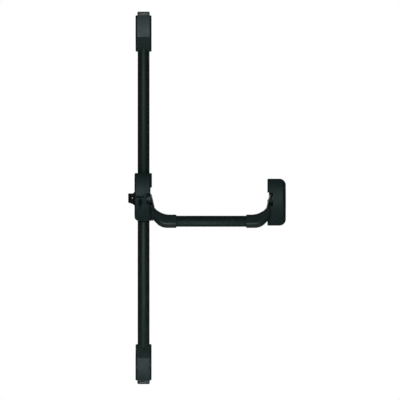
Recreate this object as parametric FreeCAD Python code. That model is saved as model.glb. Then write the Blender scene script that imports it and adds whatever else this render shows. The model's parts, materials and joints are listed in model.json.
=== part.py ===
# Panic exit device with three latching points, seen from the side that people push.
# X runs along the door towards the passive case and Z runs up. The door's face is Y = 0,
# and the device stands off it towards -Y. The origin lies on the door's face, on the
# centre line of the rods, at the height of the pivot that the push bar swings about.

import FreeCAD
import Part
import math
import os

# Sheet, walls and clearances
plate_thickness = 3.0
tab_thickness = 2.5
cover_wall = 2.0
slide_gap = 0.3
fit_gap = 0.05
seat_gap = 0.1

# Push bar and its two arms
pivot_depth = 42.0
arm_tilt_degrees = 31.0
arm_length = 96.8
tube_long_axis = 45.0
tube_short_axis = 25.0
tube_end_radius = 8.5
tube_wall = 2.0
tube_between_sockets = 260.2
socket_wall = 2.8
socket_end = 123.4
socket_depth = 26.0
socket_end_round = 1.5
hub_radius = 19.0
hub_left = 13.5
hub_right = 27.5
hub_edge_radius = 2.0
limb_side = 32.8
limb_thickness = 6.6
limb_lean = 3.8
limb_length = 41.5
limb_bend_radius = 20.0
throat_run = 24.2
throat_radius = 69.0
elbow_corner = 66.0
elbow_radius = 50.0
elbow_angle = 49.0
arm_round = 12.0
crank_height = 18.0
crank_overlap = 4.0
crank_top = 17.0
crank_reach = 3.6
crank_radius = 5.0
passive_limb_offset = 5.0

# Shafts, bushes and circlips
shaft_diameter = 12.0
shaft_overhang = 2.6
bush_wall = 1.5
bush_flange = 1.0
circlip_thickness = 1.0
circlip_width = 2.2
circlip_seat = 0.7
circlip_gap_angle = 50.0
ear_half_height = 14.0
ear_round = 12.0
ear_left = -11.0
ear_right = 9.0
passive_ear_spacing = 17.0

# Active case
case_left = -33.5
case_right = 31.3
case_top = 97.0
case_bottom = -82.0
case_depth = 64.0
case_end_depth = 40.0
case_left_round = 6.0
case_right_round = 12.0
case_top_corner = 2.0
case_left_corner = 16.0
case_right_corner = 6.0
seam_height = 7.5
seam_gap = 0.4
slot_left = -28.5
slot_right = 3.0
slot_height = 4.6
arm_notch_left = 12.0
arm_notch_back = 14.0
arm_notch_top = 20.6
arm_notch_bottom = -19.5
side_slot_edge = 26.6
side_slot_top = 43.0
side_slot_bottom = -28.0
side_slot_back = 17.2
foot_width = 3.6
foot_thickness = 4.0
foot_top = -8.0
scoop_centre = -11.0
scoop_radius = 6.5
scoop_top = -4.0
scoop_length = 30.0
scoop_depth = 5.0
rib_left = 4.5
rib_right = 9.5
rib_height = 0.8
rib_top = 20.0
mark_radius = 1.3
mark_depth = 1.2
mark_x = 3.0
mark_z = 13.5

# Passive case
passive_setback = 42.8
passive_width = 68.3
passive_top = 75.9
passive_bottom = -99.6
passive_left_round = 5.0
passive_right_round = 14.0
passive_left_corner = 3.0
passive_right_corner = 24.0
passive_slot_width = 11.3
passive_slot_top = 24.0
passive_slot_back = 17.2
passive_notch_width = 20.0
passive_notch_bottom = -26.0
passive_gap_width = 5.5
passive_gap_bottom = -2.0

# Rod covers, rods and guides
rod_diameter = 10.0
rod_depth = 12.0
rod_cover_width = 44.6
rod_cover_depth = 24.5
rod_cover_wall = 1.5
upper_span = 455.4
lower_span = 461.9
cover_entry = 16.0
guide_height = 16.0
guide_screw_radius = 2.2
guide_screw_offset = 13.0

# Latch boxes and bolts
box_width = 59.8
box_length = 134.7
box_depth = 44.0
box_rod_end_depth = 18.0
box_break = 82.0
box_side_round = 8.0
box_break_round = 9.0
box_screw_heights = (-20.0, -70.0)
box_corner = 4.0
bolt_depth = 22.0
bolt_offset = 5.0
bolt_length = 62.0
bolt_throw = 14.6
bolt_tip_round = 4.0
bolt_chamfer = 3.0
rod_in_bolt = 14.0
rail_thickness = 4.2
rail_length = 52.0

# Toothed drive
tooth_module = 1.25
pressure_angle = 20.0
tooth_play = 0.16
sector_tooth_count = 50
sector_first_tooth = -5
sector_last_tooth = 1
rod_stage_tooth_count = 18
latch_stage_tooth_count = 22
sector_left = 0.8
sector_width = 7.4
pinion_height = 44.0
pinion_pin_diameter = 6.0
lower_rack = (-5, 1)
upper_rack = (-2, 4)
tongue_rack = (-5, 0)
latch_rack = (-6, 1)
slider_thickness = 4.7
layer_gap = 0.5
leg_width = 7.2
tongue_left = -7.0
tongue_right = 8.5
bridge_height = 11.0
lower_bridge_bottom = -42.0
upper_bridge_top = 83.5
boss_width = 16.0
boss_height = 12.0
nut_across_flats = 16.0
nut_height = 6.0

# Side latch
latch_tip = -57.4
latch_inner_end = -30.0
latch_top = 21.0
latch_tip_bottom = -13.5
latch_root_bottom = -19.8
latch_front = 33.0
latch_bevel = 9.0
latch_bevel_start = 6.5
collar_left = -38.8
collar_top = 27.0
collar_bottom = -24.0
collar_front = 40.0
latch_pin_diameter = 5.5
latch_pin_x = -41.5
latch_pin_z = 3.8
bar_bottom = 21.8
tab_bottom = -8.0
tab_top = 16.0
tab_left = -46.5
tab_right = -29.5
neck_left = -31.0
neck_right = -25.0

# Keeper plate over the sliders
keeper_thickness = 1.6
keeper_half_width = 27.0
keeper_bottom = 22.5
keeper_top = 66.0
spacer_radius = 2.8
spacer_x = 24.0
spacer_z = 60.0

# Fixing holes towards the door
case_hole_x = 24.5
case_hole_z = 66.0
case_hole_radius = 2.25
passive_hole_x = 20.0
passive_hole_z = 62.0
box_hole_x = 17.0
box_hole_inset = 25.35
box_hole_radius = 2.25

# Screws that hold covers and arms
cover_screw_radius = 1.9
cover_screw_head = 3.6
cover_screw_depth = 10.0
tab_height = 14.0
case_screw_from_top = 22.0
case_screw_from_bottom = 26.0
passive_screw_from_top = 34.0
passive_screw_from_bottom = 34.0
tab_depth = 16.0
set_screw_radius = 2.5
tube_screw_radius = 2.5
tube_screw_inset = 14.0

# Places worked out from the sizes above
pivot_y = -pivot_depth
mirror_sum = 2 * socket_end + tube_between_sockets
passive_left = mirror_sum - passive_setback
passive_right = passive_left + passive_width
shaft_radius = shaft_diameter / 2
bush_radius = shaft_radius + fit_gap + bush_wall
pitch = math.pi * tooth_module
sector_radius = tooth_module * sector_tooth_count / 2
rod_stage_radius = tooth_module * rod_stage_tooth_count / 2
latch_stage_radius = tooth_module * latch_stage_tooth_count / 2
addendum = tooth_module
dedendum = 1.25 * tooth_module
layer1_back = -plate_thickness - slide_gap
layer1_front = layer1_back - slider_thickness
layer2_back = layer1_front - layer_gap
layer2_front = layer2_back - slider_thickness
rod_y = -rod_depth
rod_radius = rod_diameter / 2
top_box_start = case_top + upper_span
bottom_box_start = case_bottom - lower_span
box_hole_z = box_length / 2 - box_hole_inset
bolt_width = box_width - 2 * (cover_wall + rail_thickness + 2 * slide_gap)
side_slot_step = seam_height + seam_gap / 2
bolt_back = -bolt_offset
bolt_front = -bolt_offset - bolt_depth
keeper_back = layer2_front - slide_gap
keeper_front = keeper_back - keeper_thickness
cover_screw_length = cover_wall + slide_gap + tab_thickness
passive_hub = (mirror_sum - hub_right, mirror_sum - hub_left)
passive_ears = (passive_hub[1] + 1.5, passive_hub[1] + 1.5 + passive_ear_spacing)
passive_plate_left = passive_left + passive_slot_width + slide_gap
passive_plate_centre = (passive_plate_left + passive_right) / 2
passive_plate_middle = (passive_top + passive_bottom) / 2


def vector_on(axis, a, b, level):
    """Point with its two flat coordinates in the plane square to an axis."""
    if axis == "X":
        return FreeCAD.Vector(level, a, b)
    if axis == "Y":
        return FreeCAD.Vector(a, level, b)
    return FreeCAD.Vector(a, b, level)


def along(axis, length):
    """Vector of a length along an axis."""
    return vector_on(axis, 0, 0, length)


def box(x0, x1, y0, y1, z0, z1):
    """Block between two corners."""
    corner = FreeCAD.Vector(min(x0, x1), min(y0, y1), min(z0, z1))
    return Part.makeBox(abs(x1 - x0), abs(y1 - y0), abs(z1 - z0), corner)


def cylinder(axis, radius, a, b, low, high):
    """Round bar along an axis, between two levels."""
    length = high - low
    return Part.makeCylinder(radius, length, vector_on(axis, a, b, low), along(axis, 1))


def rounded_wire(axis, corners, level):
    """Closed outline of corners (a, b, radius), each rounded by its own arc."""
    flat = [FreeCAD.Vector(a, b, 0) for a, b, radius in corners]
    ends = []
    for index, (a, b, radius) in enumerate(corners):
        corner = flat[index]
        back = (flat[index - 1] - corner).normalize()
        ahead = (flat[(index + 1) % len(flat)] - corner).normalize()
        half = back.getAngle(ahead) / 2
        reach = radius / math.tan(half)
        bisector = (back + ahead).normalize()
        middle = corner + bisector * (radius / math.sin(half) - radius)
        ends.append((corner + back * reach, middle, corner + ahead * reach, radius))
    edges = []
    for index, (start, middle, end, radius) in enumerate(ends):
        before = ends[index - 1][2]
        if before.distanceToPoint(start) > 1e-6:
            edges.append(line(axis, before, start, level))
        if radius > 0:
            points = [vector_on(axis, p.x, p.y, level) for p in (start, middle, end)]
            edges.append(Part.Arc(*points).toShape())
    return Part.Wire(edges)


def line(axis, start, end, level):
    """Straight edge between two flat points."""
    first = vector_on(axis, start.x, start.y, level)
    return Part.makeLine(first, vector_on(axis, end.x, end.y, level))


def prism(axis, corners, low, high):
    """Solid of a rounded outline between two levels along an axis."""
    face = Part.Face(rounded_wire(axis, corners, low))
    return face.extrude(along(axis, high - low))


def sharp(points):
    """Corners with no rounding from plain points."""
    return [(a, b, 0) for a, b in points]


def fused(shapes):
    """One solid of shapes that touch or overlap."""
    shapes = list(shapes)
    return shapes[0].multiFuse(shapes[1:]).removeSplitter()


def edges_where(shape, test):
    """Edges of a shape whose centre passes a test."""
    return [edge for edge in shape.Edges if test(edge, edge.CenterOfMass)]


def turned(shape, axis, angle, centre):
    """Copy of a shape turned in degrees about an axis through a point."""
    copy = shape.copy()
    copy.rotate(centre, along(axis, 1), angle)
    return copy


def export(name, *solids):
    """Write one node, which may hold several separate solids."""
    flat = [solid for shape in solids for solid in shape.Solids]
    shape = flat[0] if len(flat) == 1 else Part.makeCompound(flat)
    shape.exportStep("parts/" + name + ".step")


def arched_block(left, right, bottom, top, depth, end_depth, rounds):
    """Case body whose front is an arc from end to end, with its two long front edges rounded."""
    middle = (bottom + top) / 2
    start = FreeCAD.Vector(left, -end_depth, bottom)
    crown = FreeCAD.Vector(left, -depth, middle)
    finish = FreeCAD.Vector(left, -end_depth, top)
    corners = [FreeCAD.Vector(left, 0, top), FreeCAD.Vector(left, 0, bottom)]
    edges = [
        Part.Arc(start, crown, finish).toShape(),
        Part.makeLine(finish, corners[0]),
        Part.makeLine(corners[0], corners[1]),
        Part.makeLine(corners[1], start),
    ]
    body = Part.Face(Part.Wire(edges)).extrude(along("X", right - left))
    for side, radius in zip((left, right), rounds):
        front = edges_where(body, lambda edge, c: abs(c.x - side) < 0.01 and c.y < -end_depth)
        body = body.makeFillet(radius, front)
    return body


def case_outline(left, right, bottom, top, corners, depth):
    """Prism of a case's frontal outline, with its corners rounded."""
    bottom_left, bottom_right, top_right, top_left = corners
    outline = [
        (left, bottom, bottom_left),
        (right, bottom, bottom_right),
        (right, top, top_right),
        (left, top, top_left),
    ]
    return prism("Y", outline, -depth - 5, 5)


def case_shell(left, right, bottom, top, rounds, corners):
    """Hollow case, open towards the door."""
    outer = arched_block(left, right, bottom, top, case_depth, case_end_depth, rounds)
    outer = outer.common(case_outline(left, right, bottom, top, corners, case_depth))
    inner_rounds = [max(radius - cover_wall, 1.0) for radius in rounds]
    inner_corners = [max(radius - cover_wall, 0.5) for radius in corners]
    inset = (left + cover_wall, right - cover_wall, bottom + cover_wall, top - cover_wall)
    inner = arched_block(*inset, case_depth - cover_wall, case_end_depth - cover_wall, inner_rounds)
    inner = inner.common(case_outline(*inset, inner_corners, case_depth))
    return outer.cut(inner).cut(box(inset[0], inset[1], -1, 1, inset[2], inset[3]))


def rod_entry(low, high, gap):
    """Block of a rod cover's outer section, to cut its way into a case or a box."""
    return half_round(rod_cover_width / 2 + gap, rod_cover_depth + gap, low, high)


def half_round(half_width, depth, low, high):
    """Solid of a half-round section with short straight flanks, standing on the door."""
    flank = -(depth - half_width)
    left = FreeCAD.Vector(-half_width, flank, low)
    right = FreeCAD.Vector(half_width, flank, low)
    crown = FreeCAD.Vector(0, -depth, low)
    foot_left = FreeCAD.Vector(-half_width, 0, low)
    foot_right = FreeCAD.Vector(half_width, 0, low)
    edges = [
        Part.Arc(left, crown, right).toShape(),
        Part.makeLine(right, foot_right),
        Part.makeLine(foot_right, foot_left),
        Part.makeLine(foot_left, left),
    ]
    return Part.Face(Part.Wire(edges)).extrude(along("Z", high - low))


def cover_screw(side, x, z, depth=cover_screw_depth):
    """Countersunk screw through a side wall; side is -1 or 1, x its outer face."""
    head = Part.makeCone(cover_screw_head, cover_screw_radius, cover_wall - 0.2)
    shank = Part.makeCylinder(cover_screw_radius, cover_screw_length)
    screw = head.fuse(shank).removeSplitter()
    screw.Placement = FreeCAD.Placement(
        FreeCAD.Vector(x, -depth, z),
        FreeCAD.Rotation(FreeCAD.Vector(0, 0, 1), FreeCAD.Vector(-side, 0, 0)),
    )
    return screw


def cover_screw_hole(side, x, z, depth=cover_screw_depth):
    """Hole that a cover screw fits with clearance."""
    head = Part.makeCone(cover_screw_head + seat_gap, cover_screw_radius + seat_gap, cover_wall)
    shank = Part.makeCylinder(cover_screw_radius + seat_gap, cover_screw_length + 1)
    hole = head.fuse(shank)
    hole.Placement = FreeCAD.Placement(
        FreeCAD.Vector(x, -depth, z),
        FreeCAD.Rotation(FreeCAD.Vector(0, 0, 1), FreeCAD.Vector(-side, 0, 0)),
    )
    return hole


def screw_places(left, right, heights):
    """Side, outer face and height of each cover screw of a case."""
    return [(side, x, z) for z in heights for side, x in ((-1, left), (1, right))]


case_screws = screw_places(case_left, case_right, (case_top - case_screw_from_top,
                                                    case_bottom + case_screw_from_bottom))
passive_screws = screw_places(passive_left, passive_right, (passive_top - passive_screw_from_top,))
passive_screws.append((1, passive_right, passive_bottom + passive_screw_from_bottom))


def side_tab(side, outer_face, z, gap=slide_gap):
    """Upright tab of a base plate just inside a cover's side wall."""
    face = outer_face - side * (cover_wall + gap)
    return box(face, face - side * tab_thickness, -plate_thickness / 2, -tab_depth,
               z - tab_height / 2, z + tab_height / 2)


def ear(left, thickness=tab_thickness):
    """Bearing ear of a base plate, a plate square to the shaft."""
    outline = [
        (-plate_thickness / 2, -ear_half_height, 0),
        (pivot_y - ear_round, -ear_round, ear_round - 0.5),
        (pivot_y - ear_round, ear_round, ear_round - 0.5),
        (-plate_thickness / 2, ear_half_height, 0),
    ]
    return prism("X", outline, left, left + thickness)


def shaft_bore(low, high, radius):
    """Bar along the pivot, to cut bores or make shafts."""
    return cylinder("X", radius, pivot_y, 0, low, high)


def fixing_holes(x, z, radius, centre_x=0, centre_z=0):
    """Four bores of a fixing pattern through a plate on the door."""
    return [
        cylinder("Y", radius, centre_x + sx * x, centre_z + sz * z, -plate_thickness - 1, 1)
        for sx in (-1, 1)
        for sz in (-1, 1)
    ]


def make_active_base():
    """Base plate of the active case with its ears, tabs and spacer holes."""
    edge = cover_wall + slide_gap
    corner = case_left_corner - edge
    outline = [
        (case_left + edge, case_bottom + edge, corner),
        (case_right - edge, case_bottom + edge, case_right_corner - edge),
        (case_right - edge, side_slot_step, 0),
        (side_slot_edge - edge, side_slot_step, 0),
        (side_slot_edge - edge, side_slot_top, 0),
        (case_right - edge, side_slot_top, 0),
        (case_right - edge, case_top - edge, 0.5),
        (case_left + edge, case_top - edge, 0.5),
    ]
    plate = prism("Y", outline, -plate_thickness, 0)
    tabs = [side_tab(side, x, z) for side, x, z in case_screws]
    base = fused([plate, ear(ear_left), ear(ear_right)] + tabs)
    for hole in fixing_holes(case_hole_x, case_hole_z, case_hole_radius):
        base = base.cut(hole)
    base = base.cut(shaft_bore(ear_left - 1, ear_right + tab_thickness + 1, bush_radius + fit_gap))
    base = base.cut(pinion_pin_bar(-plate_thickness - 1, 1, seat_gap))
    for x in (-spacer_x, spacer_x):
        base = base.cut(cylinder("Y", guide_screw_radius + seat_gap, x, spacer_z, -plate_thickness - 1, 1))
    for side, x, z in case_screws:
        base = base.cut(cover_screw_hole(side, x, z))
    return base


def pinion_pin_bar(low, high, gap=0.0):
    """Bar along the pinion's axis, thicker by a gap on the radius."""
    return cylinder("Y", pinion_pin_diameter / 2 + gap, 0, pinion_height, low, high)


def make_active_shell():
    """Whole active cover before it is split at its seam."""
    rounds = (case_left_round, case_right_round)
    corners = (case_left_corner, case_right_corner, case_top_corner, case_top_corner)
    shell = case_shell(case_left, case_right, case_bottom, case_top, rounds, corners)
    for low, high in ((case_top - 5, case_top + 5), (case_bottom - 5, case_bottom + 5)):
        shell = shell.cut(rod_entry(low, high, seat_gap))
    front = -case_depth - 1
    shell = shell.cut(box(slot_left, slot_right, front, -case_depth + 6,
                          seam_height - slot_height / 2, seam_height + slot_height / 2))
    shell = shell.cut(box(arm_notch_left, case_right + 1, front, -arm_notch_back,
                          arm_notch_bottom, arm_notch_top))
    shell = shell.cut(box(side_slot_edge, case_right + 1, front, 1, side_slot_step, side_slot_top))
    shell = shell.cut(box(side_slot_edge, case_right + 1, front, -side_slot_back,
                          side_slot_bottom, side_slot_top))
    shell = shell.cut(latch_opening())
    for side, x, z in case_screws:
        shell = shell.cut(cover_screw_hole(side, x, z))
    return shell


def latch_opening():
    """Opening in the case's left wall for the side latch and its collar's neck."""
    return box(case_left - 1, case_left + cover_wall + 4, layer2_back + 1, -latch_front - 1,
               latch_root_bottom - 1, latch_top + 1)


def scoop_cut():
    """Slanted round cut that leaves a hollow, deep at its top and fading downwards."""
    radius = scoop_radius
    lean = math.degrees(math.atan2(scoop_depth, scoop_length))
    bar = Part.makeCylinder(radius, scoop_length * 1.6)
    bar = bar.makeFillet(radius * 0.5, edges_where(bar, lambda edge, c: c.z < 0.01))
    centre = FreeCAD.Vector(scoop_centre, -case_depth - radius + scoop_depth, scoop_top)
    bar.Placement = FreeCAD.Placement(
        centre, FreeCAD.Rotation(FreeCAD.Vector(1, 0, 0), 180 - lean - scoop_extra_lean()))
    return bar


def scoop_pad():
    """Thicker wall behind the scoop, so that it stays a blind hollow."""
    half = scoop_radius + cover_wall
    pad = box(scoop_centre - half, scoop_centre + half, -case_depth - 1,
              -case_depth + scoop_depth + cover_wall, scoop_top - scoop_length, scoop_top + cover_wall)
    outer = arched_block(case_left, case_right, case_bottom, case_top, case_depth, case_end_depth,
                         (case_left_round, case_right_round))
    return pad.common(outer)


def scoop_extra_lean():
    """Lean that follows the case's arched front over the scoop's length."""
    half_length = (case_top - case_bottom) / 2
    rise = case_depth - case_end_depth
    radius = (half_length ** 2 + rise ** 2) / (2 * rise)
    middle = (case_top + case_bottom) / 2
    return -math.degrees(math.asin((middle - scoop_top + scoop_length / 2) / radius))


def make_active_covers():
    """Upper and lower cover of the active case."""
    shell = make_active_shell()
    reach = case_depth + 10
    upper = shell.common(box(case_left - 9, case_right + 9, -reach, 9,
                             seam_height + seam_gap / 2, case_top + 9))
    lower = shell.common(box(case_left - 9, case_right + 9, -reach, 9,
                             case_bottom - 9, seam_height - seam_gap / 2))
    lower = lower.fuse(scoop_pad()).cut(scoop_cut()).fuse(side_foot())
    rib_low = seam_height - seam_gap / 2 + arm_notch_bottom - slot_height
    lower = lower.fuse(front_rib(rib_low, seam_height - seam_gap / 2)).removeSplitter()
    upper = upper.fuse(front_rib(seam_height + seam_gap / 2, rib_top)).removeSplitter()
    upper = upper.cut(cylinder("Y", mark_radius, mark_x, mark_z, -reach, mark_depth - case_depth))
    return upper, lower


def side_foot():
    """Foot along the right side of the lower cover, flat on the door behind the arm."""
    return box(case_right - cover_wall / 2, case_right + foot_width, -foot_thickness, 0,
               case_bottom, foot_top)


def front_rib(low, high):
    """Low rib on the front of the lower cover, beside the arm's notch."""
    bar = box(rib_left, rib_right, -case_depth - rib_height, -case_depth + cover_wall, low, high)
    uprights = edges_where(bar, lambda edge, c: c.y < -case_depth and edge.Length > 2)
    return bar.makeFillet(rib_height * 0.8, uprights)


def make_passive_base():
    """Base plate of the passive case with its ears and tabs."""
    edge = cover_wall + slide_gap
    left = passive_plate_left
    outline = [
        (left, passive_bottom + edge, 2),
        (passive_right - edge, passive_bottom + edge, passive_right_corner - edge),
        (passive_right - edge, passive_top - edge, passive_right_corner - edge),
        (left, passive_top - edge, 2),
    ]
    plate = prism("Y", outline, -plate_thickness, 0)
    wing = box(passive_left + edge, left + 3, -plate_thickness, 0,
               passive_slot_top + edge, passive_top - edge)
    parts = [plate, wing]
    parts += [ear(x) for x in passive_ears]
    parts += [side_tab(side, x, z) for side, x, z in passive_screws]
    base = fused(parts)
    for hole in fixing_holes(passive_hole_x, passive_hole_z, case_hole_radius,
                             passive_plate_centre, passive_plate_middle):
        base = base.cut(hole)
    base = base.cut(shaft_bore(passive_ears[0] - 1, passive_ears[1] + tab_thickness + 1,
                               bush_radius + fit_gap))
    for side, x, z in passive_screws:
        base = base.cut(cover_screw_hole(side, x, z))
    return base


def make_passive_cover():
    """Cover of the passive case with its slot for the arm."""
    rounds = (passive_left_round, passive_right_round)
    corners = (passive_left_corner, passive_right_corner, passive_right_corner, passive_left_corner)
    shell = case_shell(passive_left, passive_right, passive_bottom, passive_top, rounds, corners)
    outer = arched_block(passive_left, passive_right, passive_bottom, passive_top,
                         case_depth, case_end_depth, rounds)
    slot = (passive_left - 1, passive_left + passive_slot_width, passive_bottom - 1, passive_slot_top)
    notch = (passive_left - 1, passive_left + passive_notch_width, passive_notch_bottom, passive_slot_top)
    for zone in (slot, notch):
        shell = shell.fuse(slot_box(*zone, cover_wall).common(outer))
    shell = shell.fuse(side_gap_box(cover_wall).common(outer))
    for zone in (slot, notch):
        shell = shell.cut(slot_box(*zone))
    shell = shell.cut(side_gap_box())
    shell = shell.cut(shaft_bore(passive_hub[0] - slide_gap, passive_hub[1] + 1, hub_radius + 1))
    for side, x, z in passive_screws:
        shell = shell.cut(cover_screw_hole(side, x, z))
    return shell


def slot_box(left, right, bottom, top, wall=0.0):
    """Block of a slot in the passive cover, or of the walls round it."""
    return box(left, right + wall, -case_depth - 1, -passive_slot_back + wall, bottom, top + wall)


def side_gap_box(wall=0.0):
    """Block of the gap through the passive cover's left side, or of the walls round it."""
    return box(passive_left - 1, passive_left + passive_gap_width + wall, -case_depth, 1,
               passive_gap_bottom - wall, passive_slot_top + wall)


def make_rod_cover(low, high):
    """Half-round cover of a rod, an open extrusion."""
    outer = half_round(rod_cover_width / 2, rod_cover_depth, low, high)
    inner = half_round(rod_cover_width / 2 - rod_cover_wall, rod_cover_depth - rod_cover_wall,
                       low - 1, high + 1)
    inner.translate(FreeCAD.Vector(0, 0.001, 0))
    return outer.cut(inner)


def make_rod_guide(z):
    """Guide block inside a rod cover, which holds the cover and guides the rod."""
    half_width = rod_cover_width / 2 - rod_cover_wall - seat_gap
    depth = rod_cover_depth - rod_cover_wall - seat_gap
    block = half_round(half_width, depth, z - guide_height / 2, z + guide_height / 2)
    block = block.cut(cylinder("Z", rod_radius + fit_gap, 0, rod_y, z - guide_height, z + guide_height))
    for x in (-guide_screw_offset, guide_screw_offset):
        block = block.cut(cylinder("Y", guide_screw_radius, x, z, -depth, 1))
        block = block.cut(cylinder("Y", guide_screw_radius * 2, x, z, -depth, -plate_thickness * 2))
    return block


def box_block(inset):
    """Latch box body seen in its own frame: z = 0 at the bolt's end, z < 0 towards the rod."""
    half = box_width / 2 - inset
    rod_end = -box_length + inset
    profile = [
        (0, rod_end, 0),
        (-box_rod_end_depth + inset, rod_end, 0),
        (-box_depth + inset, -box_break, box_break_round),
        (-box_depth + inset, -inset, 0),
        (0, -inset, 0),
    ]
    body = prism("X", profile, -half, half)
    fronts = edges_where(body, lambda edge, c: abs(abs(c.x) - half) < 0.01
                         and c.y < -box_rod_end_depth + inset - 0.5
                         and not abs(c.z + inset) < 0.01)
    body = body.makeFillet(box_side_round - inset, fronts)
    corner = max(box_corner - inset, 0.5)
    outline = [
        (-half, rod_end, corner),
        (half, rod_end, corner),
        (half, -inset, corner),
        (-half, -inset, corner),
    ]
    return body.common(prism("Y", outline, -box_depth - 1, 1))


def make_box_cover():
    """Latch box cover in its own frame, open towards the door."""
    cover = box_block(0).cut(box_block(cover_wall))
    cover = cover.cut(rod_entry(-box_length - 5, -box_length + cover_entry, seat_gap))
    half_bolt = bolt_width / 2 + slide_gap
    cover = cover.cut(box(-half_bolt, half_bolt, bolt_back + slide_gap, bolt_front - slide_gap,
                          -cover_wall - 1, 1))
    for side in (-1, 1):
        for z in box_screw_heights:
            cover = cover.cut(cover_screw_hole(side, side * box_width / 2, z))
    return cover


def make_box_base():
    """Latch box base in its own frame: plate, side rails and fixing holes."""
    edge = cover_wall + slide_gap
    half = box_width / 2 - edge
    low = -box_length + cover_entry + 1
    outline = [(-half, low, 0), (half, low, 0), (half, -edge, box_corner), (-half, -edge, box_corner)]
    plate = prism("Y", outline, -plate_thickness, 0)
    parts = [plate]
    for side in (-1, 1):
        inner = bolt_width / 2 + slide_gap
        parts.append(box(side * inner, side * half, -plate_thickness / 2, bolt_front - 1,
                         -box_corner - rail_length, -box_corner))
        parts.append(side_tab(side, side * box_width / 2, box_screw_heights[1]))
    base = fused(parts)
    for hole in fixing_holes(box_hole_x, box_hole_z, box_hole_radius, 0, -box_length / 2):
        base = base.cut(hole)
    for side in (-1, 1):
        for z in box_screw_heights:
            base = base.cut(cover_screw_hole(side, side * box_width / 2, z))
    return base


def make_box_screws():
    """Screws of one latch box cover in its own frame."""
    return [cover_screw(side, side * box_width / 2, z) for side in (-1, 1) for z in box_screw_heights]


def make_bolt():
    """Bolt in the latch box's frame: z = 0 at the box's end, its tip above."""
    half = bolt_width / 2
    outline = [
        (-half, bolt_throw - bolt_length, 1),
        (half, bolt_throw - bolt_length, 1),
        (half, bolt_throw, bolt_tip_round),
        (-half, bolt_throw, bolt_tip_round),
    ]
    low = bolt_throw - bolt_length
    profile = sharp([
        (bolt_back, low),
        (bolt_front, low),
        (bolt_front, bolt_throw - bolt_chamfer),
        (bolt_front + bolt_chamfer, bolt_throw),
        (bolt_back, bolt_throw),
    ])
    bolt = prism("Y", outline, bolt_front - 1, bolt_back + 1).common(prism("X", profile, -half, half))
    bolt = bolt.cut(cylinder("Z", rod_radius + seat_gap, 0, rod_y, low - 1, low + rod_in_bolt))
    return bolt


def hex_nut(z):
    """Lock nut round the rod."""
    radius = nut_across_flats / 2 / math.cos(math.radians(30))
    points = [
        (radius * math.cos(math.radians(60 * k)), rod_y + radius * math.sin(math.radians(60 * k)))
        for k in range(6)
    ]
    nut = prism("Z", sharp(points), z, z + nut_height)
    return nut.cut(cylinder("Z", rod_radius + fit_gap, 0, rod_y, z - 1, z + nut_height + 1))


def flank(radius_from, radius_to, teeth, side, centre_angle, place):
    """Side of a tooth between two radii, an arc through three points of its involute."""
    pitch_radius = tooth_module * teeth / 2
    base_radius = pitch_radius * math.cos(math.radians(pressure_angle))
    points = []
    for radius in (radius_from, (radius_from + radius_to) / 2, radius_to):
        angle = centre_angle + side * half_tooth_angle(radius, teeth, pitch_radius, base_radius)
        points.append(place(radius * math.cos(angle), radius * math.sin(angle)))
    return Part.Arc(*points).toShape(), points[0], points[-1]


def half_tooth_angle(radius, teeth, pitch_radius, base_radius):
    """Half of the angle that a tooth takes up at a radius."""
    at_pitch = math.pi / (2 * teeth) - tooth_play / (4 * pitch_radius)
    alpha = math.acos(min(1.0, base_radius / radius))
    alpha_pitch = math.acos(base_radius / pitch_radius)
    involute = math.tan(alpha) - alpha
    involute_pitch = math.tan(alpha_pitch) - alpha_pitch
    return at_pitch + involute_pitch - involute


def gear_teeth(teeth, angles, place):
    """Edges of the teeth at the given angles, joined by their root arcs."""
    pitch_radius = tooth_module * teeth / 2
    base_radius = pitch_radius * math.cos(math.radians(pressure_angle))
    root = pitch_radius - dedendum
    tip = pitch_radius + addendum
    start = max(root, base_radius)
    edges = []
    root_ends = []
    for angle in angles:
        rising, foot_1, top_1 = flank(start, tip, teeth, -1, angle, place)
        falling, foot_2, top_2 = flank(start, tip, teeth, 1, angle, place)
        crest = place(tip * math.cos(angle), tip * math.sin(angle))
        half = half_tooth_angle(start, teeth, pitch_radius, base_radius)
        first = place(root * math.cos(angle - half), root * math.sin(angle - half))
        last = place(root * math.cos(angle + half), root * math.sin(angle + half))
        if root_ends:
            gap_angle = (angle + root_ends[-1][1]) / 2
            bottom = place(root * math.cos(gap_angle), root * math.sin(gap_angle))
            edges.append(Part.Arc(root_ends[-1][0], bottom, first).toShape())
        if start > root:
            edges.append(Part.makeLine(first, foot_1))
            edges.append(Part.makeLine(foot_2, last))
        edges += [rising, Part.Arc(top_1, crest, top_2).toShape(), falling]
        root_ends.append((last, angle))
        if len(root_ends) == 1:
            opening = first
    return edges, opening, last


def make_stage(teeth, first_angle, low, high):
    """Toothed wheel about the pinion's axis, between two levels."""
    angles = [first_angle + 2 * math.pi * k / teeth for k in range(teeth)]

    def place(a, b):
        return FreeCAD.Vector(a, low, pinion_height + b)

    edges, opening, last = gear_teeth(teeth, angles, place)
    root = tooth_module * teeth / 2 - dedendum
    closing = (angles[-1] + angles[0] + 2 * math.pi) / 2
    bottom = place(root * math.cos(closing), root * math.sin(closing))
    edges.append(Part.Arc(last, bottom, opening).toShape())
    wire = Part.Wire(Part.__sortEdges__(edges))
    return Part.Face(wire).extrude(along("Y", high - low))


def make_twin_pinion():
    """Two toothed stages in one piece, with a bore for the pin."""
    rod_stage = make_stage(rod_stage_tooth_count, 0, layer1_front, layer1_back)
    latch_stage = make_stage(latch_stage_tooth_count, -math.pi / 2, layer2_front, layer2_back)
    neck = cylinder("Y", rod_stage_radius - dedendum - 1, 0, pinion_height,
                    layer2_back - 0.5, layer1_front + 0.5)
    pinion = fused([rod_stage, latch_stage, neck])
    return pinion.cut(pinion_pin_bar(layer2_front - 1, 0, fit_gap))


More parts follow.
